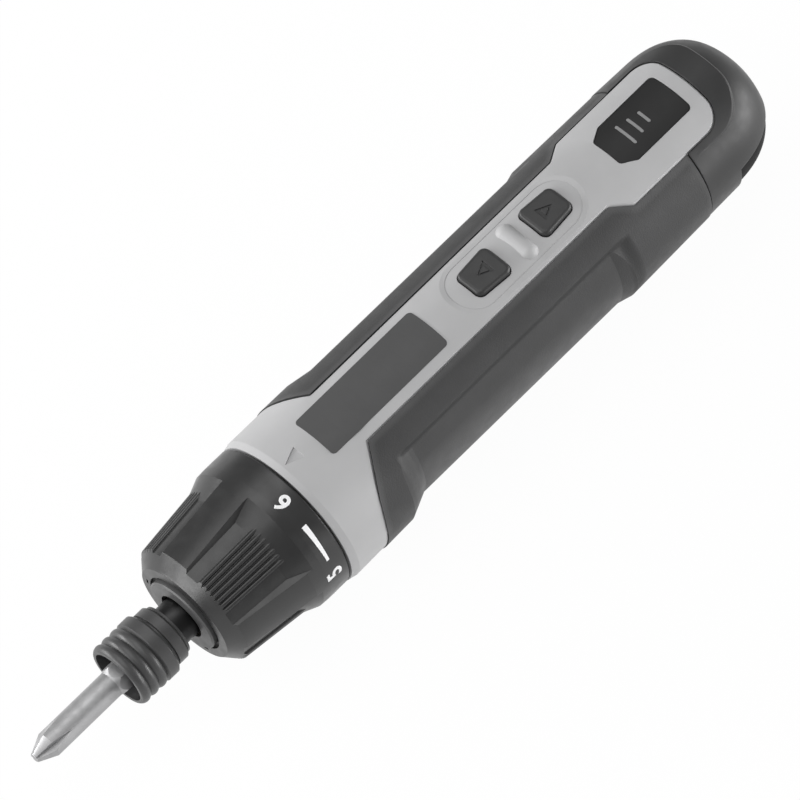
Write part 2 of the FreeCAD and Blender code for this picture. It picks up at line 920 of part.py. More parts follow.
def gear_outline(teeth, inner_side):
    # Tooth edges for one gear, centred on X; flanks are arcs through three involute points.
    pitch = gear_module * teeth / 2
    angle = math.radians(gear_pressure_angle)
    base = pitch * math.cos(angle)
    addendum = gear_addendum_share * gear_module
    dedendum = gear_dedendum_share * gear_module
    tip = pitch + (dedendum if inner_side else addendum)
    root = pitch - (addendum if inner_side else dedendum)
    slack = gear_backlash / 2 * (1 if inner_side else -1)
    half_at_pitch = math.pi / (2 * teeth) + slack / pitch
    involute_at_pitch = math.tan(angle) - angle

    def flank(radius):
        lean = math.acos(min(1.0, base / radius))
        return half_at_pitch + involute_at_pitch - (math.tan(lean) - lean)

    def point(radius, turn):
        return V(0, -radius * math.sin(turn), radius * math.cos(turn))

    low = max(root, base)
    middle = (low + tip) / 2
    step = 2 * math.pi / teeth
    edges = []
    for tooth in range(teeth):
        centre = tooth * step
        right = [point(r, centre + flank(r)) for r in (low, middle, tip)]
        left = [point(r, centre - flank(r)) for r in (low, middle, tip)]
        foot_left = point(root, centre - flank(low))
        foot_right = point(root, centre + flank(low))
        if low > root:
            edges.append(Part.makeLine(foot_left, left[0]))
        edges.append(Part.Arc(left[0], left[1], left[2]).toShape())
        edges.append(Part.Arc(left[2], point(tip, centre), right[2]).toShape())
        edges.append(Part.Arc(right[2], right[1], right[0]).toShape())
        if low > root:
            edges.append(Part.makeLine(right[0], foot_right))
        next_foot = point(root, centre + step - flank(low))
        edges.append(Part.Arc(foot_right, point(root, centre + step / 2), next_foot).toShape())
    return Part.Wire(Part.sortEdges(edges)[0])


def gear_blank(teeth, start, end, inner_side=False):
    face = Part.Face(gear_outline(teeth, inner_side))
    face.translate(V(start, 0, 0))
    return face.extrude(V(end - start, 0, 0))


def planet_radius():
    return gear_module * (sun_teeth + planet_teeth) / 2


def make_ring_gear():
    ring = cylinder_x(ring_radius, ring_start, ring_start + ring_length)
    teeth = gear_blank(ring_teeth, ring_start - overrun, ring_start + ring_length + overrun, True)
    # A ring tooth stands where each planet shows a gap, so the cut is turned by half a tooth.
    return ring.cut(turned(teeth, HALF_TURN / ring_teeth))


def make_planet(start, index):
    planet = gear_blank(planet_teeth, start, start + planet_width)
    planet = turned(planet, HALF_TURN / planet_teeth)
    bore = cylinder_x(planet_pin_radius + running_gap, start - overrun, start + planet_width + overrun)
    planet = planet.cut(bore)
    planet.translate(V(0, 0, planet_radius()))
    return turned(planet, index * FULL_TURN / planet_count)


def output_planet_start():
    return ring_start + stage_gap


def stage_disc_start():
    return output_planet_start() + planet_width + stage_gap


def input_planet_start():
    return stage_disc_start() + carrier_thickness + stage_gap


def carrier_pins(start, end):
    pin = cylinder_x(planet_pin_radius, start, end, 0, planet_radius())
    return [turned(pin, index * FULL_TURN / planet_count) for index in range(planet_count)]


def make_output_carrier():
    end = ring_start - stage_gap
    start = end - carrier_thickness
    disc = cylinder_x(carrier_radius, start, end)
    pins = carrier_pins(start, output_planet_start() + planet_width)
    drive = hex_prism(spindle_drive_flats + 2 * seat_gap, start - overrun, end + overrun)
    return joined([disc] + pins).cut(drive)


def make_stage_carrier():
    start = stage_disc_start()
    disc = cylinder_x(carrier_radius, start, start + carrier_thickness)
    pins = carrier_pins(start, input_planet_start() + planet_width)
    sun = gear_blank(sun_teeth, output_planet_start(), start + carrier_thickness)
    return joined([disc, sun] + pins)


def make_pinion():
    start = input_planet_start()
    pinion = gear_blank(sun_teeth, start, start + planet_width)
    return pinion.cut(cylinder_x(motor_shaft_radius + seat_gap, start - overrun, case_rear))


# Motor

def motor_section(inset, start, end):
    # A round can with two flats, left and right.
    can = cylinder_x(motor_radius - inset, start, end)
    half = motor_flat_half - inset
    reach = 2 * motor_radius
    return can.common(box(V(start, -half, -reach), V(end, half, reach)))


def motor_screw_cut(radius, start, end):
    return [cylinder_x(radius, start, end, 0, side * motor_screw_circle) for side in (1, -1)]


def make_motor_plate():
    plate = tube_x(case_radius, motor_boss_radius + seat_gap, case_rear, motor_front)
    hole_radius = motor_screw_radius + seat_gap
    return plate.cut(motor_screw_cut(hole_radius, case_rear - overrun, motor_front + overrun))


def make_motor_screws():
    end = motor_front + motor_screw_depth
    screws = []
    for side in (1, -1):
        level = side * motor_screw_circle
        head = cylinder_x(motor_screw_head_radius, case_rear - motor_screw_head, case_rear, 0, level)
        stem = cylinder_x(motor_screw_radius, case_rear - motor_screw_head, end, 0, level)
        screws.append(head.fuse(stem).removeSplitter())
    return Part.makeCompound(screws)


def make_motor_can():
    start = motor_front
    end = start + motor_length
    can = motor_section(0, start, end)
    can = can.cut(motor_section(motor_wall, start + motor_screw_depth + motor_wall, end + overrun))
    boss = cylinder_x(motor_boss_radius, start - motor_boss_height, start + motor_wall)
    can = can.fuse(boss).removeSplitter()
    bore = cylinder_x(motor_shaft_radius + running_gap, start - 2 * overrun, end)
    hole_end = start + motor_screw_depth + seat_gap
    return can.cut([bore] + motor_screw_cut(motor_screw_radius + seat_gap, start - overrun, hole_end))


def make_motor_end_bell():
    start = motor_front + motor_length + seat_gap
    disc = motor_section(0, start, start + bell_length)
    spigot = motor_section(motor_wall + seat_gap, start - bell_length / 2, start + bell_length)
    hub = cylinder_x(bell_hub_radius, start, start + bell_length + bell_hub_height)
    terminals = []
    for side in (1, -1):
        middle = side * terminal_offset
        low = V(start + bell_length - terminal_thickness, middle - terminal_width / 2, 0)
        high = V(start + bell_length + terminal_height, middle + terminal_width / 2, terminal_thickness)
        terminals.append(box(low, high))
    bell = joined([disc, spigot, hub] + terminals)
    return bell.cut(cylinder_x(motor_shaft_radius + running_gap, start - 2 * overrun, start + bell_length))


def make_motor_shaft():
    end = motor_front + motor_length + bell_length / 2
    return cylinder_x(motor_shaft_radius, input_planet_start() + stage_gap, end)


def make_armature():
    length = motor_length - 2 * armature_margin
    start = motor_front + (motor_screw_depth + motor_length - length) / 2
    core = cylinder_x(armature_radius, start, start + length)
    half = armature_slot_width / 2
    slot = box(V(start - overrun, -half, armature_radius - armature_slot_depth),
               V(start + length + overrun, half, 2 * armature_radius))
    cuts = [turned(slot, index * FULL_TURN / armature_slots) for index in range(armature_slots)]
    bore_end = start + length + overrun
    cuts.append(cylinder_x(motor_shaft_radius + seat_gap, start - overrun, bore_end))
    return core.cut(cuts)


# Housing

def make_top_cover():
    # One skin from the ring to the strip's end, trimmed to the plan and hollowed.
    skin = cover_body(0, ring_front, strip_end).common(ring_bevel())
    cover = skin.common(front_ring(0).fuse(cover_plan(0)))
    cover = bevel_strip(cover)
    ring_bore = cylinder_x(case_radius + shell_gap, ring_front - overrun, handle_front + overrun)
    under = cover_body(cover_wall, handle_front - overrun, strip_end + overrun)
    cover = slope_field(cover.cut([under, ring_bore, field_recess()]))
    cover = cover.fuse([finger_rib()]).removeSplitter()
    cuts = [pointer_cut(), window_block(window_gap, 0)]
    for index in range(len(button_places)):
        cuts.append(button_block(index, button_gap))
    cuts += screw_cuts(cover_screw_places)
    return cover.cut(cuts)


def ring_bevel():
    # A steep cone on the handle's axis that trims the ring's front edge.
    slope = ring_band_drop / ring_band
    start = cover_front_radius - ring_band_drop - slope * ring_front
    return handle_cone(start + slope * handle_front, start + slope * handle_rear, 0, ring_front, strip_end)


def skin_edges(solid, keep):
    # The edges that lie on the cover's skin and whose middle keep accepts.
    chosen = []
    for edge in solid.Edges:
        middle = edge.valueAt((edge.FirstParameter + edge.LastParameter) / 2)
        spread = middle.sub(V(middle.x, 0, handle_axis(middle.x))).Length
        outer = cover_top(middle.x) - handle_axis(middle.x)
        if abs(spread - outer) < shell_gap and keep(middle):
            chosen.append(edge)
    return chosen


def bevel_strip(strip):
    # A small bevel along the strip's edges, where it stands beside the rubber and the tail.
    edges = skin_edges(strip, lambda p: p.x > strip_slant_start and abs(p.y) > shell_gap)
    return strip.makeChamfer(strip_bevel, edges)


def slope_field(cover):
    # Gentle slopes down into the button field instead of a sharp rim.
    low = field_start - shell_gap
    high = field_end + shell_gap
    side = field_half_width + shell_gap
    edges = skin_edges(cover, lambda p: low < p.x < high and abs(p.y) < side and p.z > 0)
    return cover.makeChamfer(field_slope_width, field_slope_height, edges)


def field_recess():
    # A shallow racetrack dish round the two buttons, sunk below the cover's skin.
    half = field_half_width
    high = cover_top(field_end) + overrun
    plan = box(V(field_start, -half, 0), V(field_end, half, high))
    plan = round_upright_edges(plan, half - shell_gap)
    return plan.cut(cover_body(field_depth, field_start - overrun, field_end + overrun))


def finger_rib():
    # A broad low saddle between the buttons.
    half = finger_rib_half_length
    radius = finger_rib_radius
    level = cover_top(finger_rib_place) - field_depth + finger_rib_height - radius
    bar = Part.makeCylinder(radius, 2 * half, V(finger_rib_place, -half, level), Y_AXIS)
    ends = [Part.makeSphere(radius, V(finger_rib_place, side * half, level)) for side in (1, -1)]
    saddle = joined([bar] + ends)
    return saddle.cut(cover_body(cover_wall / 2, field_start, field_end))


def pointer_cut():
    half = pointer_half_width
    corners = [(pointer_apex, 0), (pointer_base, half), (pointer_base, -half)]
    plan = flat_outline(corners, 0, 2 * cover_front_radius)
    return plan.cut(cylinder_x(cover_front_radius - pointer_depth, ring_front, handle_front))


def button_outline(index, grow):
    # Wider on the side that faces the other button.
    place = button_places[index]
    way = 1 if index == 0 else -1
    half = button_length / 2 + grow
    wide = button_wide / 2 + grow
    narrow = button_narrow / 2 + grow
    return [
        (place - way * half, -narrow),
        (place + way * half, -wide),
        (place + way * half, wide),
        (place - way * half, narrow),
    ]


def button_block(index, grow):
    place = button_places[index]
    low = cover_top(place) - 2 * cover_wall - button_flange_thickness
    block = flat_outline(button_outline(index, grow), low, cover_top(place) + button_proud)
    return round_upright_edges(block, button_corner + grow)


def make_button(index):
    place = button_places[index]
    top = cover_top(place) + button_proud - field_depth
    under = flange_top(place)
    cap = flat_outline(button_outline(index, 0), under - button_flange_thickness, top)
    cap = round_upright_edges(cap, button_corner)
    rim = [edge for edge in cap.Edges if edge.BoundBox.ZMin > top - running_gap]
    cap = cap.makeFillet(button_edge, rim)
    flange = flat_outline(button_outline(index, button_flange), under - button_flange_thickness, under)
    flange = round_upright_edges(flange, button_corner)
    knob = plunger_top()
    stem = Part.makeCylinder(button_stem_radius, under - knob, V(place, 0, knob), Z_AXIS)
    return joined([cap, flange, stem]).cut(button_mark(index, top))


def flange_top(place):
    # The flange hangs below the cover's inner skin at the button's widest point.
    half = button_wide / 2 + button_flange
    radius = cover_top(place) - handle_axis(place) - cover_wall
    return handle_axis(place) + math.sqrt(radius * radius - half * half) - shell_gap


def button_mark(index, top):
    # An outlined triangle that points away from the other button.
    place = button_places[index]
    way = -1 if index == 0 else 1

    def triangle(half):
        points = [(place + way * half, 0), (place - way * half, half), (place - way * half, -half)]
        return flat_outline(points, top - mark_depth, top + overrun)

    return triangle(mark_half).cut(triangle(mark_half - 2 * mark_line))


def window_block(grow, depth):
    nose = window_front + window_nose_length
    wide = window_half_width + grow
    narrow = window_nose_half_width + grow
    points = [
        (window_front - grow, -narrow),
        (nose, -wide),
        (window_rear + grow, -wide),
        (window_rear + grow, wide),
        (nose, wide),
        (window_front - grow, narrow),
    ]
    return round_upright_edges(flat_outline(points, depth, 2 * cover_front_radius), window_corner)


def make_window():
    low = window_front - overrun
    high = window_rear + overrun
    pane = window_block(0, 0).common(cover_body(window_sink, low, high))
    pane = pane.cut(cover_body(window_thickness, low, high))
    return pane.cut(bar_blocks(0))


def bar_blocks(grow):
    blocks = []
    for place, length in zip(bar_places, bar_lengths):
        half = bar_width / 2 + grow
        side = length / 2 + grow
        corners = [(place - half, -side), (place + half, -side), (place + half, side), (place - half, side)]
        block = flat_outline(corners, 0, 2 * cover_front_radius)
        block = round_upright_edges(block, half - running_gap / 2)
        low = place - bar_width - overrun
        high = place + bar_width + overrun
        blocks.append(block.cut(cover_body(window_sink + bar_depth, low, high)))
    return blocks


def make_light_bars():
    bars = []
    for place, block in zip(bar_places, bar_blocks(-seat_gap)):
        low = place - bar_width - overrun
        high = place + bar_width + overrun
        bars.append(block.common(cover_body(window_sink, low, high)))
    return Part.makeCompound(bars)


def keel():
    # The belly's flat rest, faired into the body by sloping sides and ramped ends.
    top = keel_level + keel_slope_height
    wide = keel_half_width + keel_slope_width
    corners = [V(keel_front, -keel_half_width, keel_level), V(keel_front, keel_half_width, keel_level),
               V(keel_front, wide, top), V(keel_front, -wide, top)]
    bar = Part.Face(Part.makePolygon(corners + corners[:1])).extrude(V(keel_rear - keel_front, 0, 0))
    long_edges = [edge for edge in bar.Edges if edge.BoundBox.XLength > keel_ramp_length]
    bottom = [edge for edge in long_edges if edge.BoundBox.ZMax < keel_level + running_gap]
    bar = bar.makeFillet(keel_edge, bottom)
    lift = keel_level + keel_ramp_height
    side = [
        V(keel_front, -wide, keel_level),
        V(keel_rear - keel_ramp_length, -wide, keel_level),
        V(keel_rear, -wide, lift),
        V(keel_rear, -wide, top),
        V(keel_front, -wide, top),
    ]
    profile = Part.Face(Part.makePolygon(side + side[:1])).extrude(V(0, 2 * wide, 0))
    return bar.common(profile)


def pad_cut(side):
    # Removes the rubber outside a large cylinder, which leaves the sunk pad with its ramps.
    turn = math.radians(pad_direction)
    offset = pad_floor_radius - pad_floor_reach
    y = side * offset * math.sin(turn)
    z = -offset * math.cos(turn) + pad_rise_share * handle_rise
    core = cylinder_x(pad_floor_radius, pad_front_floor, pad_rear_floor, y, z)
    core = core.fuse([pad_ramp(pad_front, pad_front_floor, y, z), pad_ramp(pad_rear, pad_rear_floor, y, z)])
    reach = 2 * handle_front_radius
    spread = []
    for degrees in (pad_upper_angle, pad_direction, pad_lower_angle):
        angle = math.radians(degrees)
        spread.append(V(pad_front, -side * reach * math.sin(angle), reach * math.cos(angle)))
    corners = [V(pad_front, 0, 0)] + spread
    wedge = Part.Face(Part.makePolygon(corners + corners[:1])).extrude(V(pad_rear - pad_front, 0, 0))
    return wedge.cut(core)


def pad_ramp(place, floor_place, y, z):
    # A ramp of even length from the skin down to the pad's floor.
    skin = Part.makeCircle(handle_front_radius, V(place, 0, handle_axis(place)), X_AXIS)
    floor = Part.makeCircle(pad_floor_radius, V(floor_place, y, z), X_AXIS)
    return Part.makeLoft([Part.Wire(skin), Part.Wire(floor)], True, True)


def make_grip():
    end = seam_place + handle_rear - handle_front
    body = rubber_body(0, handle_front + shell_gap, end).fuse(keel())
    inner = rubber_body(rubber_thickness, handle_front - overrun, end + overrun)
    cuts = [inner, cover_plan(seam_gap), front_ring(shell_gap), seam_half_space(-shell_gap / 2)]
    body = body.removeSplitter().cut(cuts)
    return body.cut([pad_cut(1), pad_cut(-1)])


def make_shell():
    shell = rubber_body(rubber_thickness + seat_gap, shell_front, shell_end)
    shell = shell.common(cover_body(cover_wall + seat_gap, shell_front, shell_end))
    inner = rubber_body(rubber_thickness + shell_wall, shell_front - overrun, shell_end + overrun)
    shell = joined([shell.cut(inner)] + shell_ribs())
    half = board_opening_half_width
    opening = box(V(board_start, -half, 0), V(shell_end + overrun, half, 2 * cover_front_radius))
    screws = cover_screw_blocks(screw_radius + seat_gap) + tail_screw_blocks(seat_gap, overrun)
    return shell.cut([opening] + screws)


def shell_ribs():
    # Moulded ribs: one clasps the motor, three cradle the cell and carry the board.
    motor_rib = rib_slice(motor_rib_place).cut(motor_section(-seat_gap, shell_front, cell_start))
    ribs = [motor_rib]
    bed = cylinder_x(cell_radius + seat_gap, cell_start, cell_start + cell_length, 0, cell_level)
    reach = 2 * cover_front_radius
    for place in cell_rib_places:
        low = V(place - rib_thickness, -reach, board_level - seat_gap)
        above = box(low, V(place + rib_thickness, reach, reach))
        ribs.append(rib_slice(place).cut([bed, above]))
    return ribs


def rib_slice(place):
    half = rib_thickness / 2
    return rubber_body(rubber_thickness + shell_wall - seat_gap, place - half, place + half)


def screw_cuts(places):
    cuts = cover_screw_blocks(screw_radius + seat_gap)
    for place in places:
        low = cover_top(place) - screw_head - seat_gap
        cuts.append(Part.makeCylinder(screw_head_radius + seat_gap, 2 * overrun, V(place, 0, low), Z_AXIS))
    return cuts


def cover_screw_blocks(radius):
    stems = []
    for place in cover_screw_places:
        low = cover_top(place) - screw_length
        stems.append(Part.makeCylinder(radius, screw_length, V(place, 0, low), Z_AXIS))
    return stems


def make_cover_screws():
    screws = []
    for place, stem in zip(cover_screw_places, cover_screw_blocks(screw_radius)):
        low = cover_top(place) - screw_head
        head = Part.makeCylinder(screw_head_radius, screw_head - shell_gap, V(place, 0, low), Z_AXIS)
        core = stem.common(Part.makeCylinder(screw_head_radius, screw_length - shell_gap,
                                             V(place, 0, cover_top(place) - screw_length), Z_AXIS))
        screws.append(head.fuse(core).removeSplitter())
    return Part.makeCompound(screws)


# Tail cap

def tail_axis():
    return handle_rise + tail_lift


def tail_profile(inset):
    # A straight taper, then a full rounded end; every point drawn in by inset.
    radius = tail_dome_radius - inset
    end = tail_end - inset
    run = end - tail_dome_start
    level = tail_axis()
    start = V(tail_start, 0, level + tail_start_radius - inset)
    shoulder = V(tail_dome_start, 0, level + radius)
    tip = V(end, 0, level + tail_tip_radius)
    foot = V(tail_start, 0, level)
    power = tail_round_power
    points = [shoulder]
    for share in tail_round_shares:
        spread = (1 - share ** power) ** (1 / power)
        points.append(V(tail_dome_start + share * run, 0, level + spread * radius))
    round_end = Part.BSplineCurve()
    round_end.interpolate(points + [tip], InitialTangent=shoulder.sub(start), FinalTangent=Z_AXIS * -1)
    edges = [
        Part.makeLine(foot, start),
        Part.makeLine(start, shoulder),
        round_end.toShape(),
        Part.makeLine(tip, V(end, 0, level)),
        Part.makeLine(V(end, 0, level), foot),
    ]
    return Part.Face(Part.Wire(edges)).revolve(V(0, 0, level), X_AXIS, FULL_TURN)


def ledge_block():
    # The flat ledge that carries the cover's skin line on round the cover's end.
    half = strip_wide_half_width + ledge_side
    plan = box(V(tail_start, -half, 0), V(ledge_rear, half, 2 * cover_front_radius))
    plan = round_upright_edges(plan, ledge_corner, lambda p: p.x > tail_dome_start)
    ledge = plan.common(cover_body(-ledge_lift, tail_start, ledge_rear + overrun))
    lowest = strip_wide_half_width / 2
    upper = [edge for edge in ledge.Edges if edge.BoundBox.ZMin > lowest and edge.BoundBox.XMax > seam_place]
    rim = [edge for edge in upper if edge.BoundBox.YMax - edge.BoundBox.YMin + abs(edge.BoundBox.YMax) > shell_gap]
    return ledge.makeChamfer(ledge_edge, rim)


def port_zone(grow):
    # The lower rear of the tail, under an edge that climbs towards the end.
    side = 2 * handle_front_radius
    front = port_front + grow
    rear = tail_end + side
    top = port_top - grow
    climb = port_slope_share * (rear - front)
    corners = [V(front, -side, -side), V(rear, -side, -side), V(rear, -side, top + climb), V(front, -side, top)]
    return Part.Face(Part.makePolygon(corners + corners[:1])).extrude(V(0, 2 * side, 0))


def make_tail_cap():
    body = tail_profile(0).fuse(ledge_block()).removeSplitter()
    front = seam_half_space(shell_gap / 2)
    low = cover_body(cover_wall + shell_gap, tail_start - overrun, strip_end + overrun)
    strip_seat = cover_plan(seam_gap).cut(low)
    hollow = tail_profile(tail_wall + port_depth)
    socket_seat = rubber_body(rubber_thickness - seat_gap, tail_start - overrun, shell_end + shell_gap)
    pocket = port_zone(0).cut(tail_profile(port_depth))
    body = body.common(front).cut([strip_seat, hollow, socket_seat, pocket])
    return body.cut([usb_block(seat_gap)] + tail_screw_blocks(seat_gap, overrun))


def make_port_cover():
    skin = tail_profile(port_inset).cut(tail_profile(port_inset + port_thickness))
    flap = skin.common(port_zone(moving_gap))
    return joined([flap, hinge_bead()])


def hinge_bead():
    # The round bead along the flap's lower front edge, on which it bends open.
    place = port_front + hinge_back
    level = tail_axis() - tail_dome_radius + port_inset + hinge_radius / 2
    return Part.makeCylinder(hinge_radius, 2 * hinge_half_length, V(place, -hinge_half_length, level), Y_AXIS)


def usb_mouth():
    return tail_end - port_depth - usb_edge


def usb_block(grow):
    half = usb_width / 2 + grow
    low = usb_level - usb_height / 2 - grow
    high = usb_level + usb_height / 2 + grow
    shell = box(V(usb_mouth() - usb_length, -half, low), V(usb_mouth() + 2 * overrun, half, high))
    side = usb_height / 2 + grow - running_gap
    long_edges = [edge for edge in shell.Edges if edge.BoundBox.XLength > usb_length]
    return shell.makeFillet(side, long_edges)


def make_usb_socket():
    side = 2 * usb_width
    reach = box(V(0, -side, -side), V(usb_mouth(), side, side))
    outer = usb_block(0).common(reach)
    mouth = usb_block(-usb_wall)
    mouth.translate(V(usb_wall + usb_length / 4, 0, 0))
    half = usb_width / 2 - 4 * usb_wall
    low = V(usb_mouth() - usb_length, -half, usb_level - usb_wall)
    high = V(usb_mouth() - 2 * usb_wall, half, usb_level + usb_wall)
    return joined([outer.cut(mouth), box(low, high)])


def tail_screw(grow, clear_height):
    # A screw low on the cap, square to its skin; its hole is grown and runs out to the skin.
    head_top = tail_axis() + tail_start_radius - tail_wall / 2
    seat = V(tail_screw_place, 0, head_top - screw_head)
    head = Part.makeCylinder(screw_head_radius + grow, screw_head + clear_height, seat, Z_AXIS)
    foot = seat.sub(Z_AXIS * (screw_length - running_gap))
    stem = Part.makeCylinder(screw_radius + grow, screw_length, foot, Z_AXIS)
    return head.fuse(stem).removeSplitter()


def tail_screw_blocks(grow, clear_height):
    screw = tail_screw(grow, clear_height)
    return [turned(screw, HALF_TURN + side * tail_screw_angle, tail_axis()) for side in (1, -1)]


def make_tail_screws():
    return Part.makeCompound(tail_screw_blocks(0, 0))


# Power and control

def make_cell():
    cell = cylinder_x(cell_radius, cell_start, cell_start + cell_length, 0, cell_level)
    return cell.makeFillet(cell_edge, cell.Edges)


def make_tabs():
    tabs = []
    for start in (cell_start - tab_thickness - seat_gap, cell_start + cell_length + seat_gap):
        half = tab_width / 2
        tabs.append(box(V(start, -half, cell_level), V(start + tab_thickness, half, board_level)))
    return Part.makeCompound(tabs)


def board_top():
    return board_level + board_thickness


def switch_top():
    return board_top() + switch_height


def make_board():
    half = board_half_width
    end = cell_start + cell_length + tab_thickness + 2 * seat_gap
    board = box(V(board_start, -half, board_level), V(end, half, board_top()))
    return round_upright_edges(board, button_corner)


def plunger_top():
    return switch_top() + switch_knob_height


def plunger_foot():
    return switch_top() - button_travel


def make_switches():
    # Two switch bodies, each with a well that its plunger sinks into.
    switches = []
    for place in button_places:
        half = switch_size / 2
        base = box(V(place - half, -half, board_top()), V(place + half, half, switch_top()))
        low = plunger_foot() - button_travel - seat_gap
        well = Part.makeCylinder(switch_knob_radius + running_gap, switch_height, V(place, 0, low), Z_AXIS)
        switches.append(base.cut(well))
    return Part.makeCompound(switches)


def make_plunger(index):
    height = plunger_top() - seat_gap - plunger_foot()
    return Part.makeCylinder(switch_knob_radius, height, V(button_places[index], 0, plunger_foot()), Z_AXIS)


def make_lights():
    lights = []
    for place in bar_places:
        low = V(place - light_length / 2, -light_width / 2, board_top())
        high = V(place + light_length / 2, light_width / 2, board_top() + light_height)
        lights.append(box(low, high))
    return Part.makeCompound(lights)


def main():
    os.makedirs("parts", exist_ok=True)
    export("screwdriver_bit", make_bit())
    export("spindle", make_spindle())
    export("bit_magnet", make_magnet())
    export("detent_ball", make_ball())
    export("nose_clip", make_clip())
    export("sleeve_stop_ring", make_stop_ring())
    export("chuck_sleeve", make_sleeve())
    export("chuck_spring", make_chuck_spring())
    export("torque_collar", make_collar())
    export("clutch_nut", make_nut())
    export("clutch_spring", make_clutch_spring())
    export("clutch_washer", make_washer())
    export("clutch_pins", make_clutch_pins())
    export("nose_plate", make_nose_plate())
    export("gear_case", make_gear_case())
    export("front_bush", make_bush())
    export("ring_gear", make_ring_gear())
    export("output_carrier", make_output_carrier())
    export("stage_carrier", make_stage_carrier())
    for index in range(planet_count):
        number = str(index + 1)
        export("output_planet_" + number, make_planet(output_planet_start(), index))
        export("input_planet_" + number, make_planet(input_planet_start(), index))
    export("motor_pinion", make_pinion())
    export("motor_plate", make_motor_plate())
    export("motor_screws", make_motor_screws())
    export("motor_can", make_motor_can())
    export("motor_end_bell", make_motor_end_bell())
    export("motor_shaft", make_motor_shaft())
    export("armature", make_armature())
    export("top_cover", make_top_cover())
    export("forward_button", make_button(0))
    export("reverse_button", make_button(1))
    export("gauge_window", make_window())
    export("gauge_light_bars", make_light_bars())
    export("grip", make_grip())
    export("handle_shell", make_shell())
    export("cover_screws", make_cover_screws())
    export("tail_cap", make_tail_cap())
    export("port_cover", make_port_cover())
    export("usb_socket", make_usb_socket())
    export("tail_screws", make_tail_screws())
    export("battery_cell", make_cell())
    export("battery_tabs", make_tabs())
    export("control_board", make_board())
    export("tact_switches", make_switches())
    export("forward_plunger", make_plunger(0))
    export("reverse_plunger", make_plunger(1))
    export("gauge_lights", make_lights())


main()
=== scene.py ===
# %% [markdown]
# # Dressing an electric screwdriver
# The imported model arrives with every piece in place, in metres, with the tool axis along X,
# the bit towards -X and the button panel upwards. Nothing in it is moved here: this script
# gives the pieces their finishes, puts copies in place of two springs, prints the dial, lays on
# the bare plate and lights the set.

# %% Load the imported tool
import bpy
import bmesh
import json
import math
from mathutils import Matrix, Vector


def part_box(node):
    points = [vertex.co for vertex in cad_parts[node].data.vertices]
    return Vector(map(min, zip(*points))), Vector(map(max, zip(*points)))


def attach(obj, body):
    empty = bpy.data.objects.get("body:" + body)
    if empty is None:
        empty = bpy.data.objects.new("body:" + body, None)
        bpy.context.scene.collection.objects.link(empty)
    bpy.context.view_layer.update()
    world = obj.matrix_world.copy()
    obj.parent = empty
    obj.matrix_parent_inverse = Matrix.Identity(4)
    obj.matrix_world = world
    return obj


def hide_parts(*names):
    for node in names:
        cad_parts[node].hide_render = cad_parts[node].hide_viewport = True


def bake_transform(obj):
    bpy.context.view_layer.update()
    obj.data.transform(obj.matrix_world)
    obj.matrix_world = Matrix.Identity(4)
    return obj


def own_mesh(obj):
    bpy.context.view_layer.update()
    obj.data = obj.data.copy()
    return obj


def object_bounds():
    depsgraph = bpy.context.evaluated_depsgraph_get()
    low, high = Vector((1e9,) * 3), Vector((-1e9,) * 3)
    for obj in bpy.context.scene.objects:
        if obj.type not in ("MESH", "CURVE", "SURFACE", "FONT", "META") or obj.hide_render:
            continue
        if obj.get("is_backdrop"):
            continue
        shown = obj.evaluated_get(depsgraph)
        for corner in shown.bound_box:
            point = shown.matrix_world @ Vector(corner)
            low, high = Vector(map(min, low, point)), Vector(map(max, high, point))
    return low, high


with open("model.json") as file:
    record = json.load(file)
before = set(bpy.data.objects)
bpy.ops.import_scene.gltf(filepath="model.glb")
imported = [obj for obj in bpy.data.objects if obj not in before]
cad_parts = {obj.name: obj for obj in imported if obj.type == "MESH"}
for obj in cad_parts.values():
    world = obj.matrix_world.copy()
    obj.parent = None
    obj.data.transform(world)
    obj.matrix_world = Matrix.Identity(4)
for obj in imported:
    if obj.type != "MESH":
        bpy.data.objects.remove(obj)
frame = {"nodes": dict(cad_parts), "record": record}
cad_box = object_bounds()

MM = 0.001
nodes_by_name = frame["nodes"]
record = frame["record"]

# %% [markdown]
# ## The camera
# The picture is a catalogue shot: a long lens, high over the left flank, with the tool running
# from the lower left to the upper right. A camera can be turned by hand until it looks right,
# but angles that can be named are easier to correct, so it is placed by azimuth, elevation,
# roll and distance about a point on the tool axis.

# %% Camera
camera_azimuth = math.radians(37.86)
camera_elevation = math.radians(60.99)
camera_roll = math.radians(9.83)
camera_distance = 1692.4 * MM
camera_aim = Vector((84.45 * MM, 0.82 * MM, 0))
camera_lens = 360.0
camera_sensor = 36.0
camera_far_end = 10.0


def aim_camera():
    level = math.cos(camera_elevation)
    back = Vector((-math.sin(camera_azimuth) * level, -math.cos(camera_azimuth) * level,
                   math.sin(camera_elevation)))
    right = Vector((0, 0, 1)).cross(back).normalized()
    up = back.cross(right)
    rolled_up = up * math.cos(camera_roll) + right * math.sin(camera_roll)
    rolled_right = rolled_up.cross(back)
    turn = Matrix((rolled_right, rolled_up, back)).transposed().to_4x4()
    data = bpy.data.cameras.new("catalogue_camera")
    data.sensor_width = camera_sensor
    data.lens = camera_lens
    data.clip_end = camera_far_end
    camera = bpy.data.objects.new("catalogue_camera", data)
    camera.matrix_world = Matrix.Translation(camera_aim + back * camera_distance) @ turn
    bpy.context.scene.collection.objects.link(camera)
    bpy.context.scene.camera = camera
    return camera


camera = aim_camera()
print("camera at", [round(c / MM, 1) for c in camera.location], "mm")

# %% [markdown]
# ## The floor
# The tool lies on a white sweep. Paint alone turns grey away from the lamps, and more light would
# bleach the tool. So the white of the floor is mostly its own glow to the camera, and the rest is
# ordinary white paint, which keeps the tool's soft shadow.

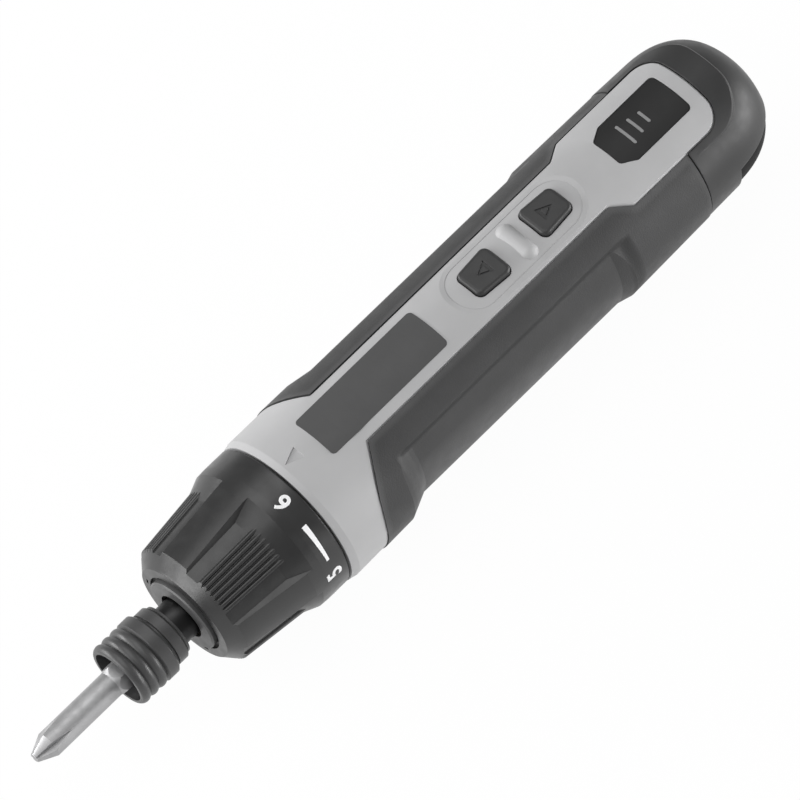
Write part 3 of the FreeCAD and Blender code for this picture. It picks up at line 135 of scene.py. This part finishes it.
# %% Floor
scene = bpy.context.scene
scene.view_settings.view_transform = "Standard"
floor_size = 6.0
floor_gap = 0.05 * MM
floor_white = (0.9, 0.9, 0.9, 1)
floor_glow_share = 0.97


def worked_out(nodes, links, operation, *values):
    # One sum, such as MAXIMUM or MULTIPLY, of the values that are linked to it.
    step = nodes.new("ShaderNodeMath")
    step.operation = operation
    for socket, value in zip(step.inputs, values):
        links.new(value, socket)
    return step.outputs[0]


def seen_directly(nodes, links):
    # 1 for rays from the camera, a reflection or glass, 0 for the light that falls on the tool.
    rays = nodes.new("ShaderNodeLightPath").outputs
    looks = worked_out(nodes, links, "MAXIMUM", rays["Is Camera Ray"], rays["Is Glossy Ray"])
    return worked_out(nodes, links, "MAXIMUM", looks, rays["Is Transmission Ray"])


def show_mixed(nodes, links, share, first, second, output):
    # Shows the first shader where share is 0 and the second where it is 1.
    mix = nodes.new("ShaderNodeMixShader")
    links.new(share, mix.inputs["Fac"])
    links.new(first.outputs[0], mix.inputs[1])
    links.new(second.outputs[0], mix.inputs[2])
    links.new(mix.outputs[0], output.inputs["Surface"])


def glowing_white():
    paint = bpy.data.materials.new("studio_white")
    paint.use_nodes = True
    nodes, links = paint.node_tree.nodes, paint.node_tree.links
    nodes.clear()
    output = nodes.new("ShaderNodeOutputMaterial")
    matt = nodes.new("ShaderNodeBsdfDiffuse")
    matt.inputs["Color"].default_value = floor_white
    glow = nodes.new("ShaderNodeEmission")
    glow.inputs["Strength"].default_value = 1.0
    share = nodes.new("ShaderNodeMath")
    share.operation = "MULTIPLY"
    share.inputs[1].default_value = floor_glow_share
    links.new(seen_directly(nodes, links), share.inputs[0])
    show_mixed(nodes, links, share.outputs[0], matt, glow, output)
    return paint


def lay_floor(level):
    mesh = bpy.data.meshes.new("studio_floor")
    half = floor_size / 2
    signs = ((-1, -1), (1, -1), (1, 1), (-1, 1))
    mesh.from_pydata([(x * half, y * half, level) for x, y in signs], [], [(0, 1, 2, 3)])
    mesh.materials.append(glowing_white())
    floor = bpy.data.objects.new("studio_floor", mesh)
    scene.collection.objects.link(floor)
    floor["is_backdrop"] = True


floor_level = cad_box[0][2] - floor_gap
lay_floor(floor_level)
print("floor level", round(floor_level / MM, 2), "mm")

# %% [markdown]
# ## The sky
# A studio has pale walls all round, which lift every shadow a little. Walls could be built; an even
# sky does the same with no faces. The camera sees it as plain white behind the floor.

# %% Sky
sky_white = (1, 1, 1, 1)
sky_strength = 0.34


def hang_sky():
    world = bpy.data.worlds.new("studio_world")
    scene.world = world
    world.use_nodes = True
    nodes, links = world.node_tree.nodes, world.node_tree.links
    nodes.clear()
    output = nodes.new("ShaderNodeOutputWorld")
    soft = nodes.new("ShaderNodeBackground")
    soft.inputs["Color"].default_value = sky_white
    soft.inputs["Strength"].default_value = sky_strength
    white = nodes.new("ShaderNodeBackground")
    white.inputs["Color"].default_value = sky_white
    rays = nodes.new("ShaderNodeLightPath").outputs
    show_mixed(nodes, links, rays["Is Camera Ray"], soft, white, output)


hang_sky()
print("sky strength", sky_strength)

# %% [markdown]
# ## Soft boxes
# Broad lamps close to the tool give long, soft gradients on the round body, which small lamps
# can't. A weak one overhead fills the panel, one in front lifts the bit, a low flat one on the near
# side makes the flank grow lighter downwards, and a small one on the far side draws the collar's
# edge. Each row gives a name, a place and a size in metres, and a power in watts.

# %% Hang the soft boxes
tool_middle = Vector((80 * MM, 0, 0))
soft_boxes = [
    ("overhead_box", Vector((0.0, 0.1, 0.7)), (0.9, 0.5), 2.6),
    ("front_side_box", Vector((-0.7, 0.2, 0.25)), (0.5, 0.3), 3.0),
    ("near_side_box", Vector((0.75, -0.55, 0.05)), (0.8, 0.12), 7.0),
    ("far_side_box", Vector((-0.35, 0.58, 0.18)), (0.4, 0.2), 3.4),
]


def hang_soft_box(name, place, size, power):
    lamp = bpy.data.lights.new(name, "AREA")
    lamp.shape = "RECTANGLE"
    lamp.size, lamp.size_y = size
    lamp.energy = power
    box = bpy.data.objects.new(name, lamp)
    box.location = place
    box.rotation_euler = (tool_middle - place).to_track_quat("-Z", "Y").to_euler()
    scene.collection.objects.link(box)


for name, place, size, power in soft_boxes:
    hang_soft_box(name, place, size, power)
print("lamps:", len(soft_boxes))

# %% [markdown]
# ## Finishes
# No real surface is one flat colour. A mould is spark-eroded, which leaves a fine grain; a resin's
# tint drifts a little over a few centimetres; and every edge is slightly rounded, so it catches
# light. Image textures could show this, but noise worked out at each point needs no unwrapping and
# holds up at any distance. Each finish below shares one recipe: a tint and a shine with drift, a
# grain that roughens the surface, and a small rounding of the edges for the light.

# %% Finish recipe
noise_span = (0.3, 0.7)
grain_detail = 3.0
edge_samples = 6


def new_finish(name):
    finish = bpy.data.materials.new(name)
    finish.use_nodes = True
    tree = finish.node_tree
    return finish, tree.nodes, tree.links, tree.nodes["Principled BSDF"]


def noise(nodes, links, size, detail=2.0):
    # Noise whose features are about size metres across.
    place = nodes.new("ShaderNodeTexCoord")
    texture = nodes.new("ShaderNodeTexNoise")
    texture.inputs["Scale"].default_value = 1 / size
    texture.inputs["Detail"].default_value = detail
    links.new(place.outputs["Object"], texture.inputs["Vector"])
    return texture.outputs["Fac"]


def drift_between(nodes, links, size, low, high):
    # Wanders from low to high over distances of about size.
    stretch = nodes.new("ShaderNodeMapRange")
    stretch.inputs["From Min"].default_value = noise_span[0]
    stretch.inputs["From Max"].default_value = noise_span[1]
    stretch.inputs["To Min"].default_value = low
    stretch.inputs["To Max"].default_value = high
    links.new(noise(nodes, links, size), stretch.inputs["Value"])
    return stretch.outputs["Result"]


def tint_with_drift(nodes, links, shader, tint, drift, size):
    # The tint drifts by a share of itself.
    mix = nodes.new("ShaderNodeMix")
    mix.data_type = "RGBA"
    mix.inputs["A"].default_value = [c * (1 - drift) for c in tint] + [1]
    mix.inputs["B"].default_value = [c * (1 + drift) for c in tint] + [1]
    links.new(drift_between(nodes, links, size, 0, 1), mix.inputs["Factor"])
    links.new(mix.outputs["Result"], shader.inputs["Base Color"])


def grain(nodes, links, shader, size, depth, edge):
    # Fine pits over softly rounded edges.
    rounding = nodes.new("ShaderNodeBevel")
    rounding.samples = edge_samples
    rounding.inputs["Radius"].default_value = edge
    bump = nodes.new("ShaderNodeBump")
    bump.inputs["Strength"].default_value = 1.0
    bump.inputs["Distance"].default_value = depth
    links.new(noise(nodes, links, size, grain_detail), bump.inputs["Height"])
    links.new(rounding.outputs["Normal"], bump.inputs["Normal"])
    links.new(bump.outputs["Normal"], shader.inputs["Normal"])


print("recipe ready, edges rounded with", edge_samples, "samples")

# %% [markdown]
# ## Metal finishes
# The bit, the shafts, the gears and the contacts are turned, sintered or plated. A metal mirrors
# what is round it, so what makes it look worked is a shine that varies over a few millimetres and
# the fine marks of the tool. The marks could be cut into the mesh; as a grain they need no faces.

# %% Metals
steel_tint_patch = 4 * MM
steel_tint_drift = 0.07
steel_shine_patch = 1.5 * MM
steel_shine_span = (0.06, 0.08)
steel_mark_size = 0.12 * MM
steel_mark_depth = 0.004 * MM
blue_cast = 1.01


def grey(share):
    return (share, share, share * blue_cast)


def machined(name, tint, rough, edge):
    finish, nodes, links, shader = new_finish(name)
    tint_with_drift(nodes, links, shader, tint, steel_tint_drift, steel_tint_patch)
    shader.inputs["Metallic"].default_value = 1.0
    smoother, rougher = steel_shine_span
    shine = drift_between(nodes, links, steel_shine_patch, rough - smoother, rough + rougher)
    links.new(shine, shader.inputs["Roughness"])
    grain(nodes, links, shader, steel_mark_size, steel_mark_depth, edge)
    return finish


metals = {
    "bit_steel": machined("satin_bit_steel", grey(0.42), rough=0.52, edge=0.08 * MM),
    "spindle_steel": machined("turned_steel", grey(0.30), rough=0.4, edge=0.1 * MM),
    "magnet": machined("plated_steel", grey(0.45), rough=0.4, edge=0.1 * MM),
    "bush_bronze": machined("sintered_bronze", (0.55, 0.38, 0.19), rough=0.5, edge=0.1 * MM),
    "ring_steel": machined("sintered_steel", grey(0.35), rough=0.45, edge=0.05 * MM),
    "contact_metal": machined("nickel_contact", grey(0.6), rough=0.35, edge=0.05 * MM),
}
print("metals:", ", ".join(metals))

# %% [markdown]
# ## Moulded finishes
# Nearly all that the hand touches is moulded: dark plastics, one grey one, and soft rubber. They
# differ less in tint than in shine and grain, so each row sets those too. The sleeve is steel, but
# its black coat hides the metal, so it's made like a moulding.

# %% Plastics and rubbers outside
moulded_tint_patch = 9 * MM
moulded_shine_patch = 3 * MM
moulded_shine_span = 0.05


def moulded(name, tint, rough, grain_size, grain_depth, edge, drift=0.06, gloss=0.5):
    finish, nodes, links, shader = new_finish(name)
    tint_with_drift(nodes, links, shader, tint, drift, moulded_tint_patch)
    smoothest, roughest = rough - moulded_shine_span, rough + moulded_shine_span
    shine = drift_between(nodes, links, moulded_shine_patch, smoothest, roughest)
    links.new(shine, shader.inputs["Roughness"])
    shader.inputs["Specular IOR Level"].default_value = gloss
    grain(nodes, links, shader, grain_size, grain_depth, edge)
    return finish


outer_mouldings = {
    "sleeve_steel": moulded(
        "blackened_sleeve_steel", grey(0.05), rough=0.4,
        grain_size=0.25 * MM, grain_depth=0.015 * MM, edge=0.15 * MM),
    "collar_plastic": moulded(
        "collar_plastic", grey(0.018), rough=0.33,
        grain_size=0.25 * MM, grain_depth=0.008 * MM, edge=0.12 * MM, gloss=0.6),
    "nose_plastic": moulded(
        "nose_plastic", grey(0.07), rough=0.42,
        grain_size=0.22 * MM, grain_depth=0.006 * MM, edge=0.15 * MM),
    "grey_plastic": moulded(
        "grey_cover_plastic", grey(0.42), rough=0.5,
        grain_size=0.25 * MM, grain_depth=0.008 * MM, edge=0.2 * MM, drift=0.03),
    "grip_rubber": moulded(
        "soft_grip_rubber", grey(0.05), rough=0.52,
        grain_size=0.35 * MM, grain_depth=0.05 * MM, edge=0.12 * MM, gloss=0.25),
    "tail_plastic": moulded(
        "tail_plastic", grey(0.032), rough=0.45,
        grain_size=0.25 * MM, grain_depth=0.008 * MM, edge=0.4 * MM, gloss=0.35),
    "port_rubber": moulded(
        "port_rubber", grey(0.008), rough=0.7,
        grain_size=0.3 * MM, grain_depth=0.01 * MM, edge=0.3 * MM, gloss=0.15),
    "button_plastic": moulded(
        "button_plastic", grey(0.026), rough=0.45,
        grain_size=0.25 * MM, grain_depth=0.008 * MM, edge=0.2 * MM),
    "window_plastic": moulded(
        "smoked_window", grey(0.011), rough=0.5,
        grain_size=0.35 * MM, grain_depth=0.004 * MM, edge=0.15 * MM, gloss=0.4),
    "light_bar_plastic": moulded(
        "light_bar_plastic", grey(0.24), rough=0.45,
        grain_size=0.3 * MM, grain_depth=0.003 * MM, edge=0.1 * MM),
}
print("outside:", ", ".join(outer_mouldings))

# %% [markdown]
# ## Finishes inside
# The gear case, the cell's shrink wrap, the board and its switches show only when the tool is
# opened. They could stay plain, but a part that is taken apart should look real inside too.

# %% Plastics inside
inner_mouldings = {
    "gear_case_plastic": moulded(
        "gear_case_plastic", grey(0.05), rough=0.5,
        grain_size=0.3 * MM, grain_depth=0.01 * MM, edge=0.2 * MM),
    "cell_wrap": moulded(
        "cell_wrap", (0.06, 0.16, 0.38), rough=0.3,
        grain_size=0.6 * MM, grain_depth=0.004 * MM, edge=0.2 * MM),
    "board_laminate": moulded(
        "board_laminate", (0.03, 0.13, 0.06), rough=0.4,
        grain_size=0.5 * MM, grain_depth=0.004 * MM, edge=0.1 * MM),
    "switch_plastic": moulded(
        "switch_plastic", grey(0.035), rough=0.5,
        grain_size=0.25 * MM, grain_depth=0.005 * MM, edge=0.1 * MM),
}
print("inside:", ", ".join(inner_mouldings))

# %% [markdown]
# ## Dressing the pieces
# The record names a slot for every piece, so one loop dresses them all. The spindle shares its slot
# with the inner shafts, but its neck is blackened like the sleeve, so it gets a finish of its own.

# %% Dress every piece
finishes = {**metals, **outer_mouldings, **inner_mouldings}


def dress(node, finish):
    mesh = nodes_by_name[node].data
    mesh.materials.clear()
    mesh.materials.append(finish)


for piece in record["subparts"]:
    dress(piece["node"], finishes[piece["material_slot"]])
dress("spindle", machined("blackened_spindle", grey(0.04), rough=0.36, edge=0.1 * MM))
print("dressed", len(record["subparts"]), "pieces in", len(finishes) + 1, "finishes")

# %% [markdown]
# ## Painted shade and highlight on the grip
# The grip's colour is darkened in its hollows as painted shade, and lightened on its ridges as
# painted highlight. That could be painted by hand into a map. Here a probe at each point finds how
# near the next wall is, outside the rubber for a hollow and inside it for a ridge, so the painted
# shade and highlight follow any change of shape.

# %% Painted highlight on ridges and painted shade in hollows
probe_samples = 8
# The hollow numbers set the painted shade and the ridge numbers set the painted highlight.
shade_reach, shade_nearest, shade_share = 1.0 * MM, 0.5, 0.0
highlight_reach, highlight_nearest, highlight_share = 1.5 * MM, 0.4, 1.5


def share_near_walls(nodes, links, inside, reach, nearest, share):
    # 1 on open surfaces, going over to share where the probe's openness falls to nearest.
    probe = nodes.new("ShaderNodeAmbientOcclusion")
    probe.samples = probe_samples
    probe.inside = inside
    probe.only_local = True
    probe.inputs["Distance"].default_value = reach
    scale = nodes.new("ShaderNodeMapRange")
    scale.inputs["From Min"].default_value = nearest
    scale.inputs["To Min"].default_value = share
    links.new(probe.outputs["AO"], scale.inputs["Value"])
    return scale.outputs["Result"]


# Paints shade into the rubber's colour in hollows and paints highlight onto it on ridges.
def paint_shade_and_highlight(finish):
    nodes, links = finish.node_tree.nodes, finish.node_tree.links
    shader = nodes["Principled BSDF"]
    hollow_shade = share_near_walls(nodes, links, False, shade_reach, shade_nearest, shade_share)
    ridge_highlight = share_near_walls(nodes, links, True, highlight_reach, highlight_nearest, highlight_share)
    scaled = nodes.new("ShaderNodeVectorMath")
    scaled.operation = "SCALE"
    links.new(shader.inputs["Base Color"].links[0].from_socket, scaled.inputs[0])
    links.new(worked_out(nodes, links, "MULTIPLY", hollow_shade, ridge_highlight), scaled.inputs["Scale"])
    links.new(scaled.outputs[0], shader.inputs["Base Color"])


paint_shade_and_highlight(finishes["grip_rubber"])
print("ridges", highlight_share, "times as light as the open rubber")

# %% [markdown]
# ## The lip over the grip's pads
# Each flank has a sunk pad, and the rubber above it ends in a lip half a millimetre deep. A real
# lip is rounded by the mould and catches a long streak of light. More loops in the mesh could show
# it; here the shading leans over a soft step that follows the lip round the handle.

# %% Soft lip
pad_lip_degrees = (44.8, 48.8)
pad_front_ramp = (69.0 * MM, 72.5 * MM)
pad_rear_ramp = (141.0 * MM, 137.0 * MM)
pad_lip_depth = 1.0 * MM


def smooth_step(nodes, links, value, low, high):
    # 0 at low and 1 at high, with soft ends.
    step = nodes.new("ShaderNodeMapRange")
    step.interpolation_type = "SMOOTHSTEP"
    step.inputs["From Min"].default_value = low
    step.inputs["From Max"].default_value = high
    links.new(value, step.inputs["Value"])
    return step.outputs["Result"]


def soft_lip(finish):
    nodes, links = finish.node_tree.nodes, finish.node_tree.links
    shader = nodes["Principled BSDF"]
    place = nodes.new("ShaderNodeTexCoord")
    apart = nodes.new("ShaderNodeSeparateXYZ")
    links.new(place.outputs["Object"], apart.inputs[0])
    aside = worked_out(nodes, links, "ABSOLUTE", apart.outputs["Y"])
    around = worked_out(nodes, links, "ARCTAN2", aside, apart.outputs["Z"])
    lip = smooth_step(nodes, links, around, *map(math.radians, pad_lip_degrees))
    front = smooth_step(nodes, links, apart.outputs["X"], *pad_front_ramp)
    rear = smooth_step(nodes, links, apart.outputs["X"], *pad_rear_ramp)
    ends = worked_out(nodes, links, "MULTIPLY", front, rear)
    bump = nodes.new("ShaderNodeBump")
    bump.invert = True
    bump.inputs["Strength"].default_value = 1.0
    bump.inputs["Distance"].default_value = pad_lip_depth
    links.new(worked_out(nodes, links, "MULTIPLY", lip, ends), bump.inputs["Height"])
    links.new(shader.inputs["Normal"].links[0].from_socket, bump.inputs["Normal"])
    links.new(bump.outputs["Normal"], shader.inputs["Normal"])


soft_lip(finishes["grip_rubber"])
print("lip between", pad_lip_degrees, "degrees from the top")

# %% [markdown]
# ## Copies of the two springs
# Two coils work inside. The one in the chuck shortens as the sleeve is pulled, and the one under
# the clutch nut lengthens as the dial is turned down. A rigid coil would cut into the sleeve or be
# left behind by the nut. Each coil could be wound again for every pose; here a copy of the packed
# coil stands in for it, the chuck's copy hung on the spindle; nothing here presses it or draws it
# out.


def working_coil(node):
    coil = bpy.data.objects.new("working_" + node, nodes_by_name[node].data.copy())
    scene.collection.objects.link(coil)
    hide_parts(node)
    return coil


chuck_coil = working_coil("chuck_spring")
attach(chuck_coil, "spindle")
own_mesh(chuck_coil)

clutch_coil = working_coil("clutch_spring")
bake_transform(clutch_coil)

# %% [markdown]
# ## The dial's print
# The collar carries white numbers with a short bar between neighbours. They are pad-printed ink,
# a few hundredths of a millimetre thick. A decal texture would need unwrapping; instead each mark
# is a flat outline, cut fine and bent round the collar, so it stays sharp in any view.

# %% Bend a flat outline round the collar
collar_low, collar_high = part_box("torque_collar")
collar_radius = (collar_high.y - collar_low.y) / 2
ink_proud = 0.03 * MM
ink_sunk = 0.05 * MM
ink_cut = 0.4 * MM
most_cuts = 6
ink = moulded("white_dial_ink", grey(0.86), rough=0.5, grain_size=0.2 * MM,
              grain_depth=0.002 * MM, edge=0.02 * MM, drift=0.02)


def laid_on(name, flat, fineness, skin):
    # Cuts a flat outline fine, gives it thickness and lays each point on a skin.
    bmesh.ops.triangulate(flat, faces=flat.faces[:])
    for _ in range(most_cuts):
        long_edges = [edge for edge in flat.edges if edge.calc_length() > fineness]
        if long_edges:
            bmesh.ops.subdivide_edges(flat, edges=long_edges, cuts=1)
            bmesh.ops.triangulate(flat, faces=flat.faces[:])
    raised = bmesh.ops.extrude_face_region(flat, geom=flat.faces[:])
    upper = {v for v in raised["geom"] if isinstance(v, bmesh.types.BMVert)}
    for vertex in flat.verts:
        vertex.co = skin(vertex.co.x, vertex.co.y, vertex in upper)
    bmesh.ops.recalc_face_normals(flat, faces=flat.faces[:])
    mesh = bpy.data.meshes.new(name)
    flat.to_mesh(mesh)
    flat.free()
    piece = bpy.data.objects.new(name, mesh)
    scene.collection.objects.link(piece)
    return piece


def print_on_collar(name, flat, angle, station):
    # The outline's x reads towards +Y and its y stands towards the bit.
    def skin(x, y, upper):
        radius = collar_radius + (ink_proud if upper else -ink_sunk)
        turn = angle - x / collar_radius
        return (station - y, -radius * math.sin(turn), radius * math.cos(turn))

    piece = laid_on(name, flat, ink_cut, skin)
    piece.data.materials.append(ink)
    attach(piece, "collar")


print("collar radius", round(collar_radius / MM, 2), "mm")

# %% [markdown]
# ## Numbers
# Six plain numbers run round the dial, the strongest setting near the top at rest. Their outlines
# could be drawn point by point; a text curve gives them ready-made, and its offset makes them bold.

# %% Print the numbers
numbers = "654321"
number_angles = [16.4, 80.5, 128.5, 176.5, 224.5, 272.5]
number_height = 4.1 * MM
number_station = 44.5 * MM
digit_boldness = 0.025
digit_steps = 6
weld_distance = 0.0005


def number_outline(digit, height):
    curve = bpy.data.curves.new("digit_outline", "FONT")
    curve.body = digit
    curve.align_x = "CENTER"
    curve.align_y = "CENTER"
    curve.size = 1.0
    curve.offset = digit_boldness
    curve.resolution_u = digit_steps
    holder = bpy.data.objects.new("digit_outline", curve)
    scene.collection.objects.link(holder)
    bpy.context.view_layer.update()
    shown = holder.evaluated_get(bpy.context.evaluated_depsgraph_get())
    mesh = bpy.data.meshes.new_from_object(shown)
    bpy.data.objects.remove(holder)
    across = [v.co.x for v in mesh.vertices]
    upright = [v.co.y for v in mesh.vertices]
    scale = height / (max(upright) - min(upright))
    centre = (max(across) + min(across)) / 2
    middle = (max(upright) + min(upright)) / 2
    flat = bmesh.new()
    flat.from_mesh(mesh)
    bpy.data.meshes.remove(mesh)
    bmesh.ops.remove_doubles(flat, verts=flat.verts[:], dist=weld_distance)
    for vertex in flat.verts:
        vertex.co = ((vertex.co.x - centre) * scale, (vertex.co.y - middle) * scale, 0)
    return flat


for digit, degrees in zip(numbers, number_angles):
    flat = number_outline(digit, number_height)
    print_on_collar("dial_number_" + digit, flat, math.radians(degrees), number_station)
print("numbers:", len(numbers))

# %% [markdown]
# ## Bars
# A bar lies between neighbouring numbers and narrows towards the weaker one. It has four corners,
# so it is written as one face; the bending above cuts it fine enough to follow the collar.

# %% Print the bars
bar_station = number_station
bar_widths = [1.3 * MM, 0.7 * MM, 0.6 * MM, 0.5 * MM, 0.4 * MM, 0.3 * MM]
first_bar_margins = (20.1, 13.8)
bar_margins = (30.0, 10.0)


def bar_outline(length, low_width, high_width):
    # The wide end lies to the right, by the higher number.
    flat = bmesh.new()
    corners = [(-length / 2, -low_width / 2), (length / 2, -high_width / 2),
               (length / 2, high_width / 2), (-length / 2, low_width / 2)]
    flat.faces.new([flat.verts.new((x, y, 0)) for x, y in corners])
    return flat


for index, (first, last) in enumerate(zip(number_angles, number_angles[1:])):
    margins = first_bar_margins if index == 0 else bar_margins
    low = first + margins[0]
    high = last - margins[1]
    length = math.radians(high - low) * collar_radius
    middle = math.radians((low + high) / 2)
    flat = bar_outline(length, bar_widths[index + 1], bar_widths[index])
    print_on_collar("dial_bar_" + str(index + 1), flat, middle, bar_station)
print("bars:", len(number_angles) - 1)

# %% [markdown]
# ## The bare plate
# A thin dark plate lies on the cover in front of the buttons and hides the cover screws. It is
# bare. It could be a box with a bend modifier, but the cover is a slightly tilted cone, so the
# plate is a flat outline with rounded corners whose points are laid on that skin one by one.

# %% Plate on the cover
plate_start = 59.6 * MM
plate_end = 94.7 * MM
plate_length = plate_end - plate_start
plate_half_width = 5.8 * MM
plate_corner = 1.0 * MM
plate_proud = 0.12 * MM
plate_sunk = 0.3 * MM
plate_cut = 1.5 * MM
cover_start = 59.5 * MM
cover_run = 101.5 * MM
cover_radius = 19.2 * MM
cover_taper = 1.1 * MM
cover_rise = 2.1 * MM


def rounded_rectangle(half_length, half_width, corner, steps=6):
    flat = bmesh.new()
    points = []
    for side_x, side_y, first in ((1, 1, 0), (-1, 1, 90), (-1, -1, 180), (1, -1, 270)):
        for step in range(steps + 1):
            angle = math.radians(first + 90 * step / steps)
            points.append((side_x * (half_length - corner) + corner * math.cos(angle),
                           side_y * (half_width - corner) + corner * math.sin(angle)))
    flat.faces.new([flat.verts.new((x, y, 0)) for x, y in points])
    return flat


def cover_skin(x, y, lift):
    share = (x - cover_start) / cover_run
    radius = cover_radius - cover_taper * share + lift
    return (x, y, cover_rise * share + math.sqrt(radius * radius - y * y))


def lay_plate():
    middle = (plate_start + plate_end) / 2
    flat = rounded_rectangle(plate_length / 2, plate_half_width, plate_corner)

    def skin(x, y, upper):
        return cover_skin(middle + x, y, plate_proud if upper else -plate_sunk)

    plate = laid_on("bare_plate", flat, plate_cut, skin)
    plate.data.materials.append(
        moulded("plate_film", grey(0.07), rough=0.55, grain_size=0.2 * MM, grain_depth=0.003 * MM,
                edge=0.1 * MM, drift=0.03, gloss=0.35))
    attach(plate, "root")
    return plate


plate = lay_plate()
print("plate", round(plate_length / MM, 1), "mm long,", len(plate.data.polygons), "faces")

# %% [markdown]
# ## Sizes
# The dressed tool has to keep the imported model's size, so both boxes are printed side by side.

# %% Print the sizes
sizes = {"cad": [list(map(float, corner)) for corner in cad_box],
         "visual": [list(map(float, corner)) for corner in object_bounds()]}
print("cad box", sizes["cad"], "dressed box", sizes["visual"])
